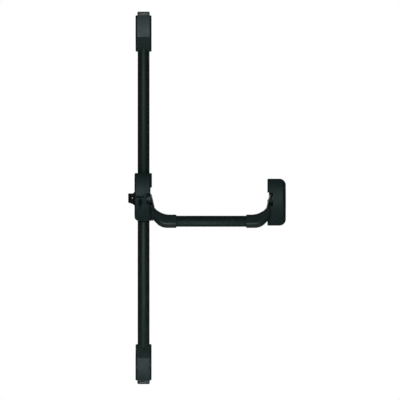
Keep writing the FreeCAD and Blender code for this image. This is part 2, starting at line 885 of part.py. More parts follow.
def make_sector():
    """Toothed sector on the drive shaft, facing the door."""
    step = 2 * math.pi / sector_tooth_count
    angles = [step * k for k in range(sector_first_tooth, sector_last_tooth + 1)]

    def place(a, b):
        return FreeCAD.Vector(sector_left, pivot_y + a, b)

    edges, opening, last = gear_teeth(sector_tooth_count, angles, place)
    root = sector_radius - dedendum
    half_gap = step / 2
    low_edge = place(root * math.cos(angles[0] - half_gap), root * math.sin(angles[0] - half_gap))
    high_edge = place(root * math.cos(angles[-1] + half_gap), root * math.sin(angles[-1] + half_gap))
    hub = shaft_radius + 4
    low_hub = place(hub * math.cos(angles[0] - math.pi / 3), hub * math.sin(angles[0] - math.pi / 3))
    high_hub = place(hub * math.cos(angles[-1] + math.pi / 3), hub * math.sin(angles[-1] + math.pi / 3))
    back = place(-hub * math.cos(angles[0] / 2), -hub * math.sin(angles[0] / 2))
    edges += [
        Part.makeLine(opening, low_edge),
        Part.makeLine(low_edge, low_hub),
        Part.Arc(low_hub, back, high_hub).toShape(),
        Part.makeLine(high_hub, high_edge),
        Part.makeLine(high_edge, last),
    ]
    wire = Part.Wire(Part.__sortEdges__(edges))
    sector = Part.Face(wire).extrude(along("X", sector_width))
    return sector.cut(shaft_bore(sector_left - 1, sector_left + sector_width + 1,
                                 shaft_radius + seat_gap / 2))


def rack_points(centre, first, last, line_at, outward):
    """Points of a toothed edge: (height, place along it), teeth half a pitch off the centre."""
    lean = math.tan(math.radians(pressure_angle))
    half = pitch / 4 - tooth_play / 4
    points = []
    for index in range(first, last + 1):
        middle = centre + (index + 0.5) * pitch
        for offset, height in ((-half - dedendum * lean, -dedendum), (-half + addendum * lean, addendum),
                               (half - addendum * lean, addendum), (half + dedendum * lean, -dedendum)):
            points.append((line_at + outward * height, middle + offset))
    return points


def make_lower_slider():
    """U-shaped slider that carries the lower rod, with a front rack and a side rack."""
    rack_root = rod_stage_radius + dedendum
    leg_right = rack_root + leg_width
    teeth = rack_points(pinion_height, *lower_rack, rod_stage_radius, -1)
    leg_top = pinion_height + (lower_rack[1] + 1) * pitch
    bridge_top = lower_bridge_bottom + bridge_height
    outline = [(rack_root, bridge_top)] + teeth + [
        (rack_root, leg_top),
        (leg_right, leg_top),
        (leg_right, lower_bridge_bottom),
        (tongue_left, lower_bridge_bottom),
        (tongue_left, bridge_top),
    ]
    legs = prism("Y", sharp(outline), layer1_front, layer1_back)
    tongue_line = pivot_y + sector_radius
    front_teeth = rack_points(0, *tongue_rack, tongue_line, -1)
    tongue_top = (tongue_rack[1] + 1) * pitch
    tongue_outline = [(layer1_back, lower_bridge_bottom), (tongue_line + dedendum, lower_bridge_bottom)]
    tongue_outline += front_teeth
    tongue_outline += [(tongue_line + dedendum, tongue_top), (layer1_back, tongue_top)]
    tongue = prism("X", sharp(tongue_outline), tongue_left, tongue_right)
    boss = rod_boss(lower_bridge_bottom - boss_height, lower_bridge_bottom)
    return fused([legs, tongue, boss])


def rod_boss(low, high):
    """Block that takes the end of a rod, bored along it."""
    half = boss_width / 2
    block = box(-half, half, layer1_back, rod_y - half, low, high)
    return block.cut(cylinder("Z", rod_radius + seat_gap, 0, rod_y, low - 1, high + 1))


def make_upper_slider():
    """Slider that carries the upper rod, with its rack on the other side of the pinion."""
    rack_root = -rod_stage_radius - dedendum
    leg_left = rack_root - leg_width
    teeth = rack_points(pinion_height, *upper_rack, -rod_stage_radius, 1)
    bridge_bottom = upper_bridge_top - bridge_height
    leg_bottom = pinion_height + upper_rack[0] * pitch
    half_boss = boss_width / 2
    outline = [(rack_root, leg_bottom)] + teeth + [
        (rack_root, bridge_bottom),
        (half_boss, bridge_bottom),
        (half_boss, upper_bridge_top),
        (leg_left, upper_bridge_top),
        (leg_left, leg_bottom),
    ]
    legs = prism("Y", sharp(outline), layer1_front, layer1_back)
    return fused([legs, rod_boss(upper_bridge_top, upper_bridge_top + boss_height)])


def make_latch_bar():
    """Side latch bar: rack under the pinion, neck, and a tab behind the latch head."""
    rack_line = pinion_height - latch_stage_radius
    root = rack_line - dedendum
    teeth = [(b, a) for a, b in rack_points(0, *latch_rack, rack_line, 1)]
    right = (latch_rack[1] + 1) * pitch
    outline = [(neck_left, root)] + teeth + [
        (right, root),
        (right, bar_bottom),
        (neck_right, bar_bottom),
        (neck_right, tab_top - 1),
        (tab_right, tab_top - 1),
        (tab_right, tab_bottom),
        (tab_left, tab_bottom),
        (tab_left, tab_top),
        (neck_left, tab_top),
    ]
    bar = prism("Y", sharp(outline), layer2_front, layer2_back)
    return bar.cut(latch_pin_bar(seat_gap / 2))


def latch_pin_bar(gap=0.0):
    """Pin through the latch head and the tab of its bar."""
    return cylinder("Y", latch_pin_diameter / 2 + gap, latch_pin_x, latch_pin_z,
                    -latch_front, layer2_back)


def make_latch_head():
    """Side latch head with a bevelled front, relieved behind for the bar's tab."""
    outline = [
        (latch_tip, latch_tip_bottom, 1.5),
        (collar_left, latch_root_bottom, 0),
        (latch_inner_end, latch_root_bottom, 1),
        (latch_inner_end, latch_top, 1),
        (latch_tip, latch_top, 1.5),
    ]
    head = prism("Y", outline, -latch_front, layer2_back)
    bevel = sharp([
        (latch_tip - 1, -latch_front - 1),
        (latch_tip + latch_bevel_start, -latch_front - 1),
        (latch_tip + latch_bevel_start, -latch_front),
        (latch_tip, -latch_front + latch_bevel),
        (latch_tip - 1, -latch_front + latch_bevel),
    ])
    head = head.cut(prism("Z", bevel, latch_root_bottom - 1, latch_top + 1))
    head = head.cut(box(tab_left - seat_gap, latch_inner_end + 1, layer2_front, layer2_back + 1,
                        latch_root_bottom - 1, latch_top + 1))
    return head.cut(latch_pin_bar(seat_gap / 2))


def make_collar():
    """Collar that leads the side latch through the case's wall."""
    back = layer2_back + 1
    front = -collar_front
    outline = [
        (collar_left, collar_bottom + 3, 0),
        (case_left - seat_gap, collar_bottom, 0),
        (case_left - seat_gap, collar_top, 0),
        (collar_left, collar_top - 5, 0),
    ]
    body = prism("Y", outline, front, back)
    opening = box(collar_left - 1, case_left + 9, layer2_back + slide_gap, -latch_front - slide_gap,
                  latch_root_bottom - slide_gap, latch_top + slide_gap)
    neck = box(case_left - 1, case_left + cover_wall, layer2_back + 1 - seat_gap,
               -latch_front - 1 + seat_gap, latch_root_bottom - 1 + seat_gap, latch_top + 1 - seat_gap)
    return fused([body, neck]).cut(opening)


def make_arm(limb_offset):
    """Cast arm of the active side, from its hub down to its socket for the tube."""
    side = limb_side + limb_offset
    half_socket = tube_long_axis / 2 + socket_wall
    half_depth = tube_short_axis / 2 + socket_wall - 0.5
    socket_top = half_socket - arm_length
    socket_bottom = -half_socket - arm_length
    elbow_x = elbow_corner + limb_offset / 2
    crank_left = hub_right - crank_overlap
    rise = (elbow_x - crank_left) * math.tan(math.radians(elbow_angle))
    inner_foot = side + limb_thickness + limb_lean
    outline = [
        (crank_left, crank_top, 0),
        (hub_right + crank_reach + limb_offset, crank_top, 0),
        (inner_foot, -limb_length, limb_bend_radius),
        (inner_foot + throat_run, socket_top, throat_radius),
        (socket_end, socket_top, 0),
        (socket_end, socket_bottom, 0),
        (elbow_x, socket_bottom, elbow_radius),
        (crank_left, socket_bottom + rise, 0),
    ]
    body = prism("Y", outline, -half_depth, half_depth)
    chains = edges_where(body, lambda edge, c: abs(abs(c.y) - half_depth) < 0.01
                         and arm_edge(edge, socket_bottom + rise))
    body = body.makeFillet(arm_round, chains)
    inside = [
        (hub_left - 9, -crank_height, 0),
        (side, -crank_height, crank_radius),
        (side, socket_bottom - 2, 0),
        (hub_left - 9, socket_bottom - 2, 0),
    ]
    body = body.cut(prism("Y", inside, -hub_radius, hub_radius))
    hub = cylinder("X", hub_radius, 0, 0, hub_left, hub_right)
    rims = edges_where(hub, lambda edge, c: c.x > hub_right - 0.01)
    hub = hub.makeFillet(hub_edge_radius, rims)
    rim = edges_where(body, lambda edge, c: c.x > socket_end - 0.01)
    body = body.makeFillet(socket_end_round, rim)
    arm = hub.fuse(body).removeSplitter()
    arm = arm.cut(oval_bar(seat_gap, socket_end - socket_depth, socket_end + 1))
    arm = arm.cut(cylinder("X", shaft_radius + seat_gap / 2, 0, 0, hub_left - 1, hub_right + 1))
    arm = arm.cut(set_screw_bar(seat_gap))
    arm = arm.cut(tube_screw_bar(seat_gap))
    return in_arm_frame(arm)


def arm_edge(edge, left_end):
    """True for the arm's long edges, which are rounded, and not its end or its left side."""
    box_of = edge.BoundBox
    upright = box_of.XLength < 0.01
    level_top = box_of.ZLength < 0.01 and box_of.ZMax > left_end - 1
    return not upright and not level_top


def oval_bar(offset, low, high):
    """Oval bar along the tube in the arm's upright frame, offset from the tube's outside."""
    half_long = tube_long_axis / 2
    half_short = tube_short_axis / 2
    reach = half_long - tube_end_radius
    spare = half_short - tube_end_radius
    drop = (reach ** 2 - spare ** 2) / (2 * spare)
    side_radius = half_short + drop
    turn = math.atan2(reach, drop)
    joint_a = side_radius + offset
    corners = []
    for side_a, side_b in ((1, 1), (-1, 1), (-1, -1), (1, -1)):
        corners.append((side_b * (joint_a * math.cos(turn) - drop), side_a * joint_a * math.sin(turn)))
    points = [FreeCAD.Vector(low, y, z - arm_length) for y, z in corners]
    flats = [half_short + offset, -half_long - offset, -half_short - offset, half_long + offset]
    middles = [
        FreeCAD.Vector(low, flats[0], -arm_length),
        FreeCAD.Vector(low, 0, flats[1] - arm_length),
        FreeCAD.Vector(low, flats[2], -arm_length),
        FreeCAD.Vector(low, 0, flats[3] - arm_length),
    ]
    edges = [
        Part.Arc(points[k], middles[k], points[(k + 1) % 4]).toShape()
        for k in range(4)
    ]
    return Part.Face(Part.Wire(edges)).extrude(along("X", high - low))


def set_screw_bar(gap=0.0):
    """Set screw that locks the hub on its shaft, from the hub's top."""
    middle = (hub_left + hub_right) / 2 - 1
    return cylinder("Z", set_screw_radius + gap, middle, 0, shaft_radius, hub_radius)


def tube_screw_bar(gap=0.0):
    """Screw that holds the tube in its socket, from the door's side."""
    depth = tube_short_axis / 2 + socket_wall
    return cylinder("Y", tube_screw_radius + gap, socket_end - tube_screw_inset, -arm_length,
                    tube_short_axis / 2 - tube_wall - 0.5, depth - 0.8)


def in_arm_frame(shape):
    """Shape of the arm's upright frame, brought to the arm's place on the pivot."""
    shape.translate(FreeCAD.Vector(0, pivot_y, 0))
    return turned(shape, "X", -arm_tilt_degrees, FreeCAD.Vector(0, pivot_y, 0))


def to_passive_side(shape):
    """Mirror image of a piece of the active arm, on the passive side."""
    return shape.mirror(FreeCAD.Vector(mirror_sum / 2, 0, 0), FreeCAD.Vector(1, 0, 0))


def make_tube():
    """Oval push tube between the two sockets."""
    low = socket_end - socket_depth + slide_gap
    high = mirror_sum - low
    tube = oval_bar(0, low, high).cut(oval_bar(-tube_wall, low - 1, high + 1))
    screw = tube_screw_bar(seat_gap)
    tube = tube.cut(screw).cut(to_passive_side(screw))
    return in_arm_frame(tube)


def make_shaft(low, high, clip_at):
    """Shaft along the pivot with a groove for its circlip."""
    neck = shaft_bore(clip_at - seat_gap / 2, clip_at + circlip_thickness + seat_gap / 2,
                      shaft_radius - circlip_seat)
    ends = [
        shaft_bore(low, clip_at - seat_gap / 2, shaft_radius),
        shaft_bore(clip_at + circlip_thickness + seat_gap / 2, high, shaft_radius),
    ]
    return fused([neck] + ends)


def make_circlip(x):
    """Open spring ring in a shaft's groove."""
    ring = shaft_bore(x, x + circlip_thickness, shaft_radius + circlip_width)
    ring = ring.cut(shaft_bore(x - 1, x + circlip_thickness + 1, shaft_radius - circlip_seat + fit_gap))
    half_angle = math.radians(circlip_gap_angle / 2)
    reach = 2 * shaft_diameter
    wedge = [
        (pivot_y, 0),
        (pivot_y - reach * math.cos(half_angle), -reach * math.sin(half_angle)),
        (pivot_y - reach * math.cos(half_angle), reach * math.sin(half_angle)),
    ]
    return ring.cut(prism("X", sharp(wedge), x - 1, x + circlip_thickness + 1))


def make_bush(ear_at, flange_side):
    """Flanged bush in an ear; its flange lies on the named side."""
    low, high = ear_at, ear_at + tab_thickness
    bush = shaft_bore(low, high, bush_radius)
    if flange_side < 0:
        flange = shaft_bore(low - bush_flange, low, bush_radius + 1.5)
    else:
        flange = shaft_bore(high, high + bush_flange, bush_radius + 1.5)
    bush = fused([bush, flange])
    return bush.cut(shaft_bore(low - 3, high + 3, shaft_radius + fit_gap))


def make_return_spring(low, high):
    """Envelope of the torsion spring's turns round a shaft."""
    outer = shaft_bore(low, high, shaft_radius + 3.2)
    return outer.cut(shaft_bore(low - 1, high + 1, shaft_radius + 0.8))


def make_keeper():
    """Plate in front of the sliders, which keeps them on the base."""
    outline = [
        (-keeper_half_width, keeper_bottom, 3),
        (side_slot_edge - 4, keeper_bottom, 3),
        (side_slot_edge - 4, side_slot_top + 2, 0),
        (keeper_half_width, side_slot_top + 2, 3),
        (keeper_half_width, keeper_top, 3),
        (-keeper_half_width, keeper_top, 3),
    ]
    front = keeper_back - keeper_thickness
    plate = prism("Y", outline, front, keeper_back)
    plate = plate.cut(pinion_pin_bar(front - 1, keeper_back + 1, seat_gap))
    for x in (-spacer_x, spacer_x):
        plate = plate.cut(cylinder("Y", guide_screw_radius + seat_gap, x, spacer_z, front - 1, 0))
    return plate


def make_spacers():
    """Round spacers that hold the keeper plate off the base plate."""
    spacers = []
    for x in (-spacer_x, spacer_x):
        tube = cylinder("Y", spacer_radius, x, spacer_z, keeper_back, -plate_thickness)
        spacers.append(tube.cut(cylinder("Y", guide_screw_radius - 0.2, x, spacer_z,
                                         keeper_back - 1, 0)))
    return spacers


def make_keeper_screws():
    """Screws through the keeper plate and its spacers into the base plate."""
    screws = []
    for x in (-spacer_x, spacer_x):
        head = cylinder("Y", guide_screw_radius * 1.6, x, spacer_z, keeper_front - 2, keeper_front)
        shank = cylinder("Y", guide_screw_radius - 0.3, x, spacer_z, keeper_front, -0.5)
        screws.append(fused([head, shank]))
    return screws


def make_pinion_pin():
    """Pin of the pinion, riveted in the base plate and headed over the keeper."""
    head = cylinder("Y", pinion_pin_diameter * 0.8, 0, pinion_height, keeper_front - 1.2, keeper_front)
    return fused([pinion_pin_bar(keeper_front, -0.2), head])


def at_top(shape):
    """Piece of a latch box's own frame, brought to the top box."""
    shape.translate(FreeCAD.Vector(0, 0, top_box_start + box_length))
    return shape


def at_bottom(shape):
    """Piece of a latch box's own frame, turned round for the bottom box."""
    shape = turned(shape, "Y", 180, FreeCAD.Vector(0, 0, 0))
    shape.translate(FreeCAD.Vector(0, 0, bottom_box_start - box_length))
    return shape


os.makedirs("parts", exist_ok=True)

# Active case
active_upper, active_lower = make_active_covers()
export("active_base_plate", make_active_base())
export("active_cover_upper", active_upper)
export("active_cover_lower", active_lower)
export("active_cover_screws", *[cover_screw(*place) for place in case_screws])
export("active_shaft_bushes", make_bush(ear_left, -1), make_bush(ear_right, 1))
export("active_return_spring", make_return_spring(ear_left + tab_thickness + slide_gap,
                                                  sector_left - slide_gap))
export("keeper_plate", make_keeper())
export("keeper_spacers", *make_spacers())
export("keeper_screws", *make_keeper_screws())
export("pinion_pin", make_pinion_pin())
export("side_latch_collar", make_collar())

# Passive case
export("passive_base_plate", make_passive_base())
export("passive_cover", make_passive_cover())
export("passive_cover_screws", *[cover_screw(*place) for place in passive_screws])
export("passive_shaft_bushes", make_bush(passive_ears[0], 1), make_bush(passive_ears[1], 1))
export("passive_return_spring", make_return_spring(
    passive_ears[0] + tab_thickness + bush_flange + slide_gap, passive_ears[1] - slide_gap))

# Rod covers and their guides
upper_cover = (case_top - cover_wall, top_box_start + cover_entry)
lower_cover = (bottom_box_start - cover_entry, case_bottom + cover_wall)
export("upper_rod_cover", make_rod_cover(*upper_cover))
export("lower_rod_cover", make_rod_cover(*lower_cover))
upper_guides = [case_top + upper_span * share for share in (0.12, 0.9)]
lower_guides = [case_bottom - lower_span * share for share in (0.12, 0.9)]
export("upper_rod_guides", *[make_rod_guide(z) for z in upper_guides])
export("lower_rod_guides", *[make_rod_guide(z) for z in lower_guides])

# Latch boxes
for name, put in (("top", at_top), ("bottom", at_bottom)):
    export(name + "_latch_base", put(make_box_base()))
    export(name + "_latch_cover", put(make_box_cover()))
    export(name + "_latch_screws", *[put(screw) for screw in make_box_screws()])
    export(name + "_bolt", put(make_bolt()))

# Push bar
export("push_tube", make_tube())
export("active_arm", make_arm(0))
export("passive_arm", to_passive_side(make_arm(passive_limb_offset)))
active_clip = ear_left - bush_flange - slide_gap - circlip_thickness
passive_clip = passive_ears[1] + tab_thickness + bush_flange + slide_gap
passive_end = passive_clip + circlip_thickness + shaft_overhang
export("drive_shaft", make_shaft(active_clip - shaft_overhang, hub_right - 1, active_clip))
export("passive_shaft", make_shaft(passive_hub[0] + 1, passive_end, passive_clip))
export("drive_sector", make_sector())
export("shaft_circlips", make_circlip(active_clip), make_circlip(passive_clip))
hub_screw = in_arm_frame(set_screw_bar())
export("arm_set_screws", hub_screw, to_passive_side(hub_screw))
socket_screw = in_arm_frame(tube_screw_bar())
export("tube_screws", socket_screw, to_passive_side(socket_screw))

# Rods, sliders and their nuts
top_bolt_low = top_box_start + box_length + bolt_throw - bolt_length
bottom_bolt_high = bottom_box_start - box_length - bolt_throw + bolt_length
export("upper_slider", make_upper_slider())
export("lower_slider", make_lower_slider())
export("upper_rod", cylinder("Z", rod_radius, 0, rod_y, upper_bridge_top + 0.5,
                             top_bolt_low + rod_in_bolt - 1))
export("lower_rod", cylinder("Z", rod_radius, 0, rod_y, bottom_bolt_high - rod_in_bolt + 1,
                             lower_bridge_bottom - 0.5))
export("upper_rod_nuts", hex_nut(top_bolt_low - nut_height))
export("lower_rod_nuts", hex_nut(bottom_bolt_high))

# Pinion and side latch
export("twin_pinion", make_twin_pinion())
export("side_latch_bar", make_latch_bar())
export("side_latch_head", make_latch_head())
export("latch_pin", latch_pin_bar())
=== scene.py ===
"""Looks of the panic exit device: finishes, soft edges, springs, sockets, light and camera."""

import json
import logging
import math
from dataclasses import dataclass, field, fields, replace
from enum import Enum

import bpy
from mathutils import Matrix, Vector


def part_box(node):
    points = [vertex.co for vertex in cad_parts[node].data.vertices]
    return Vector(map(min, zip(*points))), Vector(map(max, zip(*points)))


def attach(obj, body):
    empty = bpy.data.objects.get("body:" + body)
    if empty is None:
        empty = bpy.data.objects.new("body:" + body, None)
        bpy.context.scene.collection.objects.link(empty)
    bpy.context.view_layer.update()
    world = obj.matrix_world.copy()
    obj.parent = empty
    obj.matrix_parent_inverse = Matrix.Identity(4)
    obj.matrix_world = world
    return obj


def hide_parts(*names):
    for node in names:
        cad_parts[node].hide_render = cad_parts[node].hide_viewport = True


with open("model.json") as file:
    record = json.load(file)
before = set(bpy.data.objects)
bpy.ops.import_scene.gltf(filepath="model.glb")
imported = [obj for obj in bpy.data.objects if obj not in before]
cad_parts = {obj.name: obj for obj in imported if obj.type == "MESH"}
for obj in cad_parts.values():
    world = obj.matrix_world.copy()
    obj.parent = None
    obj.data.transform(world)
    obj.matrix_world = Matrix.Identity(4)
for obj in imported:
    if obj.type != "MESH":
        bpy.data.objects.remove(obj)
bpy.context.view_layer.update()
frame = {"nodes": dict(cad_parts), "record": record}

log = logging.getLogger("panic_exit_device")

Colour = tuple[float, float, float]
Material = bpy.types.Material
Node = bpy.types.Node
Piece = bpy.types.Object
Socket = bpy.types.NodeSocket


class Direction(Enum):
    """Way that draw lines run, as the scale of their noise along X, Y and Z."""

    ALONG_X = (0.03, 1.0, 1.0)
    ALONG_Z = (1.0, 1.0, 0.03)
    NONE = (1.0, 1.0, 1.0)


class NodeSheet:
    """Adds shader nodes to one tree and joins their sockets."""

    MIX_FACTOR = 0
    MIX_FIRST = 6
    MIX_SECOND = 7
    MIX_RESULT = 2

    def __init__(self, tree: bpy.types.NodeTree) -> None:
        """Keep the tree that the nodes go into.

        Args:
            tree: Node tree of a material, a world or a group.
        """
        self.tree = tree

    def add(self, kind: str, **values: object) -> Node:
        """Add a node and set its inputs.

        Args:
            kind: Type name of the node.
            values: Socket values by name, with underscores for spaces.

        Returns:
            The new node.
        """
        node = self.tree.nodes.new(kind)
        for name, value in values.items():
            node.inputs[name.replace("_", " ")].default_value = value
        return node

    def group(self, tree: bpy.types.NodeTree, values: dict[str, float]) -> Node:
        """Place a node group with its own values.

        Args:
            tree: The group.
            values: Input values by name.

        Returns:
            The group's node.
        """
        node = self.tree.nodes.new("ShaderNodeGroup")
        node.node_tree = tree
        for name, value in values.items():
            node.inputs[name].default_value = value
        return node

    def join(self, source: Socket, target: Socket) -> None:
        """Link one socket to another."""
        self.tree.links.new(source, target)

    def mapped(self, source: Socket, **ends: float) -> Socket:
        """Map a value from one range to another, held at its ends.

        Args:
            source: Value that is mapped.
            ends: Those of From_Min, From_Max, To_Min and To_Max that differ from 0 and 1.

        Returns:
            Socket with the mapped value.
        """
        node = self.add("ShaderNodeMapRange", **ends)
        self.join(source, node.inputs["Value"])
        return node.outputs["Result"]

    def noise(self, place: Socket, scale: Socket, detail: float, roughness: float) -> Socket:
        """Lay noise from 0 to 1 over a space.

        Args:
            place: Coordinates in that space.
            scale: How fine the noise is.
            detail: Number of its finer layers.
            roughness: Strength of the finer layers.

        Returns:
            Socket with the noise.
        """
        node = self.add("ShaderNodeTexNoise", Detail=detail, Roughness=roughness)
        self.join(place, node.inputs["Vector"])
        self.join(scale, node.inputs["Scale"])
        return node.outputs["Fac"]

    def maths(self, operation: str, first: Socket, second: Socket) -> Socket:
        """Work out one value from two."""
        node = self.add("ShaderNodeMath")
        node.operation = operation
        self.join(first, node.inputs[0])
        self.join(second, node.inputs[1])
        return node.outputs["Value"]

    def blend_colour(self, mask: Socket, first: Colour | Socket, second: Colour) -> Socket:
        """Blend between two colours by a mask.

        Args:
            mask: Mask from 0 to 1.
            first: Colour, or socket with colours, where the mask is 0.
            second: Colour where the mask is 1.

        Returns:
            Socket with the blended colour.
        """
        node = self.tree.nodes.new("ShaderNodeMix")
        node.data_type = "RGBA"
        if isinstance(first, tuple):
            node.inputs[self.MIX_FIRST].default_value = (*first, 1.0)
        else:
            self.join(first, node.inputs[self.MIX_FIRST])
        node.inputs[self.MIX_SECOND].default_value = (*second, 1.0)
        self.join(mask, node.inputs[self.MIX_FACTOR])
        return node.outputs[self.MIX_RESULT]


class SurfaceEffects:
    """Node groups that several finishes share, each built once."""

    def __init__(self) -> None:
        """Build the groups."""
        self.ripple = self.build_ripple()
        self.lines = self.build_lines()
        self.wear = self.build_wear()
        self.hollow = self.build_hollow()

    def start(self, name: str, inputs: dict[str, float],
              outputs: tuple[str, ...]) -> tuple[NodeSheet, Node, Node]:
        """Make an empty group with number sockets.

        Args:
            name: Name of the group.
            inputs: Input names with their defaults.
            outputs: Output names.

        Returns:
            The group's sheet, its input node and its output node.
        """
        tree = bpy.data.node_groups.new(name, "ShaderNodeTree")
        for label, value in inputs.items():
            socket = tree.interface.new_socket(label, in_out="INPUT", socket_type="NodeSocketFloat")
            socket.default_value = value
        for label in outputs:
            tree.interface.new_socket(label, in_out="OUTPUT", socket_type="NodeSocketFloat")
        sheet = NodeSheet(tree)
        return sheet, sheet.add("NodeGroupInput"), sheet.add("NodeGroupOutput")

    def build_ripple(self) -> bpy.types.NodeTree:
        """Fine ripple of a sprayed coat, and slow cloudy patches."""
        inputs = {"Ripples": 700.0, "Patches": 14.0}
        sheet, given, result = self.start("Coat Ripple", inputs, ("Height", "Patch"))
        place = sheet.add("ShaderNodeTexCoord").outputs["Object"]
        ripple = sheet.noise(place, given.outputs["Ripples"], detail=3.0, roughness=0.55)
        sheet.join(ripple, result.inputs["Height"])
        cloud = sheet.noise(place, given.outputs["Patches"], detail=4.0, roughness=0.6)
        patch = sheet.mapped(cloud, From_Min=0.35, From_Max=0.65)
        sheet.join(patch, result.inputs["Patch"])
        return sheet.tree

    def build_lines(self) -> bpy.types.NodeTree:
        """Long fine lines, as drawing or grinding leaves them."""
        inputs = {"Lines": 900.0, "Across X": 1.0, "Across Y": 1.0, "Across Z": 1.0}
        sheet, given, result = self.start("Draw Lines", inputs, ("Height",))
        stretch = sheet.add("ShaderNodeCombineXYZ")
        for axis in "XYZ":
            sheet.join(given.outputs["Across " + axis], stretch.inputs[axis])
        mapping = sheet.add("ShaderNodeMapping")
        place = sheet.add("ShaderNodeTexCoord").outputs["Object"]
        sheet.join(place, mapping.inputs["Vector"])
        sheet.join(stretch.outputs["Vector"], mapping.inputs["Scale"])
        stretched = mapping.outputs["Vector"]
        lines = sheet.noise(stretched, given.outputs["Lines"], detail=2.0, roughness=0.7)
        sheet.join(lines, result.inputs["Height"])
        return sheet.tree

    def build_wear(self) -> bpy.types.NodeTree:
        """Broken rubbing along convex edges."""
        sheet, given, result = self.start("Edge Rub", {"Breaks": 160.0}, ("Mask",))
        shape = sheet.add("ShaderNodeNewGeometry")
        edge = sheet.mapped(shape.outputs["Pointiness"], From_Min=0.56, From_Max=0.70)
        place = sheet.add("ShaderNodeTexCoord").outputs["Object"]
        breaks = sheet.noise(place, given.outputs["Breaks"], detail=5.0, roughness=0.65)
        part = sheet.mapped(breaks, From_Min=0.45, From_Max=0.7)
        sheet.join(sheet.maths("MULTIPLY", edge, part), result.inputs["Mask"])
        return sheet.tree

    def build_hollow(self) -> bpy.types.NodeTree:
        """Soft patch round one place of a front, strongest in its middle: the mask of painted shade
        in a hollow.
        """
        inputs = {"Centre X": 0.0, "Centre Z": 0.0, "Half Width": 0.01, "Half Height": 0.01}
        sheet, given, result = self.start("Hollow Painted Shade", inputs, ("Mask",))
        split = sheet.add("ShaderNodeSeparateXYZ")
        sheet.join(sheet.add("ShaderNodeTexCoord").outputs["Object"], split.inputs["Vector"])
        squares = []
        for axis, half in (("X", "Half Width"), ("Z", "Half Height")):
            offset = sheet.maths("SUBTRACT", split.outputs[axis], given.outputs["Centre " + axis])
            share = sheet.maths("DIVIDE", offset, given.outputs[half])
            squares.append(sheet.maths("MULTIPLY", share, share))
        far = sheet.maths("ADD", *squares)
        sheet.join(sheet.mapped(far, To_Min=1.0, To_Max=0.0), result.inputs["Mask"])
        return sheet.tree


@dataclass(frozen=True)
class PaintedHollowShade:
    """Painted shade in a hollow of a front: the coat's colour darkened where the scoop holds shade,
    and its roughness raised.
    """

    centre: tuple[float, float] = (-0.0118, -0.0130)
    half_size: tuple[float, float] = (0.0085, 0.0230)
    # Share of the coat's colour that the painted shade leaves.
    left_over: float = 0.22
    roughness: float = 1.0

    def values(self) -> dict[str, float]:
        """Inputs of the hollow group."""
        return {"Centre X": self.centre[0], "Centre Z": self.centre[1],
                "Half Width": self.half_size[0], "Half Height": self.half_size[1]}


@dataclass(frozen=True)
class Finish:
    """One finish: its colours, how rough it is, the marks of how it was made, and any painted shade
    of a hollow.
    """

    name: str
    colour: Colour
    patch_colour: Colour
    rub_colour: Colour
    roughness: tuple[float, float]
    metallic: float = 0.0
    specular: float = 0.5
    sheen: Colour = (1.0, 1.0, 1.0)
    # Painted shade of a hollow, if the finish has one.
    film: PaintedHollowShade | None = None
    ripples: float = 700.0
    ripple_height: float = 0.00004
    lines: Direction = Direction.NONE
    line_height: float = 0.0
    line_count: float = 900.0

    def build(self, effects: SurfaceEffects) -> Material:
        """Make the material.

        Args:
            effects: The shared node groups.

        Returns:
            The material, ready to be put on pieces.
        """
        material = bpy.data.materials.new(self.name)
        material.use_nodes = True
        sheet = NodeSheet(material.node_tree)
        shader = material.node_tree.nodes["Principled BSDF"]
        shader.inputs["Metallic"].default_value = self.metallic
        shader.inputs["Specular IOR Level"].default_value = self.specular
        shader.inputs["Specular Tint"].default_value = (*self.sheen, 1.0)
        ripple = sheet.group(effects.ripple, {"Ripples": self.ripples})
        patch = ripple.outputs["Patch"]
        rub = sheet.group(effects.wear, {}).outputs["Mask"]
        base = sheet.blend_colour(patch, self.colour, self.patch_colour)
        colour = sheet.blend_colour(rub, base, self.rub_colour)
        smooth, rough = self.roughness
        roughness = sheet.mapped(patch, To_Min=smooth, To_Max=rough)
        # Painted shade in the scoop: darker colour and higher roughness under a soft mask.
        if self.film:
            colour, roughness = self.add_film(sheet, effects, colour, roughness)
        sheet.join(colour, shader.inputs["Base Color"])
        sheet.join(roughness, shader.inputs["Roughness"])
        bump = sheet.add("ShaderNodeBump", Strength=1.0, Distance=self.ripple_height)
        sheet.join(ripple.outputs["Height"], bump.inputs["Height"])
        if self.line_height > 0:
            self.add_lines(sheet, effects, bump)
        sheet.join(bump.outputs["Normal"], shader.inputs["Normal"])
        return material

    def add_film(self, sheet: NodeSheet, effects: SurfaceEffects, colour: Socket,
                 roughness: Socket) -> tuple[Socket, Socket]:
        """Paint shade into a hollow: darken its colour and dull it.

        Args:
            sheet: Sheet of the material's tree.
            effects: The shared node groups.
            colour: Colour of the clean coat.
            roughness: Roughness of the clean coat.

        Returns:
            Sockets with the colour darkened by painted shade, and the raised roughness.
        """
        mask = sheet.group(effects.hollow, self.film.values()).outputs["Mask"]
        # Painted shade: the coat's colour scaled down to its left-over share.
        dark = tuple(part * self.film.left_over for part in self.colour)
        dull = sheet.add("ShaderNodeMix", B=self.film.roughness)
        sheet.join(roughness, dull.inputs["A"])
        sheet.join(mask, dull.inputs["Factor"])
        return sheet.blend_colour(mask, colour, dark), dull.outputs["Result"]

    def add_lines(self, sheet: NodeSheet, effects: SurfaceEffects, bump: Node) -> None:
        """Lay draw lines under the ripple.

        Args:
            sheet: Sheet of the material's tree.
            effects: The shared node groups.
            bump: Bump node of the ripple, which the lines' normal feeds.
        """
        across = dict(zip(("Across X", "Across Y", "Across Z"), self.lines.value))
        lines = sheet.group(effects.lines, {"Lines": self.line_count, **across})
        line_bump = sheet.add("ShaderNodeBump", Strength=1.0, Distance=self.line_height)
        sheet.join(lines.outputs["Height"], line_bump.inputs["Height"])
        sheet.join(line_bump.outputs["Normal"], bump.inputs["Normal"])


